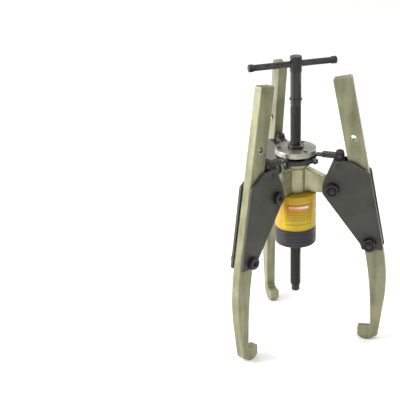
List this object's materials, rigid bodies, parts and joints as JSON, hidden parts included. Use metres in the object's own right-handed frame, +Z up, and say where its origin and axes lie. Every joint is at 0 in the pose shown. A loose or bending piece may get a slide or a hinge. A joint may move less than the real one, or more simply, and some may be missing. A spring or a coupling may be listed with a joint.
{
  "type": "gear puller",
  "caption": "Three-jaw gear puller with a hydraulic hollow-plunger cylinder, a forcing screw with T-bar and a ring that opens the jaws together.",
  "frame": {"origin": "centre of the flat end of the forcing screw's point", "axes": "+Z up along the forcing screw, from its point to the T-bar; +X outwards through jaw 1; +Y completes a right-handed frame, towards the oil coupler"},
  "size_m": [0.2532, 0.2862, 0.5216],
  "materials": {
    "plated_steel": "satin olive-tinted zinc plate",
    "plate_steel": "charcoal phosphate, semi-matt",
    "black_steel": "black oxide, satin",
    "screw_steel": "dark oiled steel",
    "bright_steel": "ground and plated",
    "yellow_paint": "gloss yellow enamel",
    "collar_steel": "blue-black oxide, satin",
    "seal_rubber": "matt"
  },
  "bodies": {
    "root": {"head_block": "plated_steel", "neck_nut": "black_steel", "cylinder_body": "yellow_paint", "cylinder_collar": "collar_steel", "gland_ring": "bright_steel", "wiper_ring": "seal_rubber", "oil_coupler": "bright_steel", "dust_cap": "seal_rubber"},
    "jaw_1": {"jaw_bar_1": "plated_steel", "near_plate_1": "plate_steel", "far_plate_1": "plate_steel", "pivot_bolt_1": "black_steel", "pivot_nut_1": "black_steel", "jaw_bolt_1": "black_steel", "jaw_nut_1": "black_steel"},
    "jaw_2": {"jaw_bar_2": "plated_steel", "near_plate_2": "plate_steel", "far_plate_2": "plate_steel", "pivot_bolt_2": "black_steel", "pivot_nut_2": "black_steel", "jaw_bolt_2": "black_steel", "jaw_nut_2": "black_steel"},
    "jaw_3": {"jaw_bar_3": "plated_steel", "near_plate_3": "plate_steel", "far_plate_3": "plate_steel", "pivot_bolt_3": "black_steel", "pivot_nut_3": "black_steel", "jaw_bolt_3": "black_steel", "jaw_nut_3": "black_steel"},
    "trunnion_1": {"trunnion_1": "black_steel", "link_bolt_1": "black_steel"},
    "trunnion_2": {"trunnion_2": "black_steel", "link_bolt_2": "black_steel"},
    "trunnion_3": {"trunnion_3": "black_steel", "link_bolt_3": "black_steel"},
    "sync_ring": {"sync_ring": "black_steel", "sync_disc": "bright_steel", "disc_screw_1": "black_steel", "disc_screw_2": "black_steel", "disc_screw_3": "black_steel", "link_stud_1": "bright_steel", "link_stud_2": "bright_steel", "link_stud_3": "bright_steel", "stud_nut_1": "black_steel", "stud_nut_2": "black_steel", "stud_nut_3": "black_steel"},
    "link_1": {"link_1": "black_steel"},
    "link_2": {"link_2": "black_steel"},
    "link_3": {"link_3": "black_steel"},
    "ram": {"plunger": "bright_steel", "piston_seal": "seal_rubber", "saddle": "black_steel", "return_spring": "bright_steel"},
    "point": {"screw_point": "bright_steel"},
    "screw": {"screw": "screw_steel"},
    "tbar": {"tbar": "screw_steel", "tbar_cap_1": "screw_steel", "tbar_cap_2": "screw_steel"}
  },
  "joints": [
    {"name": "jaw_1_swing", "type": "hinge", "parent": "root", "child": "jaw_1", "pos_m": [0.0662, 0, 0.2066], "axis": [0, -1, 0], "range_deg": [0, 10]},
    {"name": "jaw_2_swing", "type": "hinge", "parent": "root", "child": "jaw_2", "pos_m": [-0.0331, 0.05733, 0.2066], "axis": [0.866, 0.5, 0], "range_deg": [0, 10]},
    {"name": "jaw_3_swing", "type": "hinge", "parent": "root", "child": "jaw_3", "pos_m": [-0.0331, -0.05733, 0.2066], "axis": [-0.866, 0.5, 0], "range_deg": [0, 10]},
    {"name": "trunnion_1_swivel", "type": "hinge", "parent": "jaw_1", "child": "trunnion_1", "pos_m": [0.0762, 0, 0.2491], "axis": [0, -1, 0], "range_deg": [-10.1, 0.1]},
    {"name": "trunnion_2_swivel", "type": "hinge", "parent": "jaw_2", "child": "trunnion_2", "pos_m": [-0.0381, 0.06599, 0.2491], "axis": [0.866, 0.5, 0], "range_deg": [-10.1, 0.1]},
    {"name": "trunnion_3_swivel", "type": "hinge", "parent": "jaw_3", "child": "trunnion_3", "pos_m": [-0.0381, -0.06599, 0.2491], "axis": [-0.866, 0.5, 0], "range_deg": [-10.1, 0.1]},
    {"name": "ring_turn", "type": "hinge", "parent": "root", "child": "sync_ring", "pos_m": [0, 0, 0.257], "axis": [0, 0, 1], "range_deg": [-0.1, 22.99]},
    {"name": "link_1_swivel", "type": "hinge", "parent": "sync_ring", "child": "link_1", "pos_m": [0.03268, 0.00459, 0.26315], "axis": [0, 0, 1], "range_deg": [-39.75, 0.1]},
    {"name": "link_2_swivel", "type": "hinge", "parent": "sync_ring", "child": "link_2", "pos_m": [-0.02032, 0.026, 0.26315], "axis": [0, 0, 1], "range_deg": [-39.75, 0.1]},
    {"name": "link_3_swivel", "type": "hinge", "parent": "sync_ring", "child": "link_3", "pos_m": [-0.01236, -0.0306, 0.26315], "axis": [0, 0, 1], "range_deg": [-39.75, 0.1]},
    {"name": "ram_slide", "type": "slide", "parent": "root", "child": "ram", "axis": [0, 0, -1], "range_m": [0, 0.041], "stiffness_N_per_m": 2000, "springref_m": -0.02, "deforming": ["return_spring"]},
    {"name": "screw_feed", "type": "slide", "parent": "ram", "child": "point", "axis": [0, 0, 1], "range_m": [-0.0064, 0.07625]},
    {"name": "screw_turn", "type": "hinge", "parent": "point", "child": "screw", "pos_m": [0, 0, 0.015], "axis": [0, 0, 1], "range_deg": [-1440, 17280]},
    {"name": "tbar_slide", "type": "slide", "parent": "screw", "child": "tbar", "axis": [0.8788, 0.4772, 0], "range_m": [-0.0525, 0.0635]}
  ],
  "couplings": [
    {"joint": "jaw_2_swing", "follows": "jaw_1_swing", "ratio": 1},
    {"joint": "jaw_3_swing", "follows": "jaw_1_swing", "ratio": 1},
    {"joint": "trunnion_1_swivel", "follows": "jaw_1_swing", "ratio": -1},
    {"joint": "trunnion_2_swivel", "follows": "jaw_1_swing", "ratio": -1},
    {"joint": "trunnion_3_swivel", "follows": "jaw_1_swing", "ratio": -1},
    {"joint": "ring_turn", "follows": "jaw_1_swing", "ratio": 2.2893},
    {"joint": "link_1_swivel", "follows": "jaw_1_swing", "ratio": -3.9647},
    {"joint": "link_2_swivel", "follows": "jaw_1_swing", "ratio": -3.9647},
    {"joint": "link_3_swivel", "follows": "jaw_1_swing", "ratio": -3.9647},
    {"joint": "screw_feed", "follows": "screw_turn", "m_per_rad": 0.00025266}
  ]
}
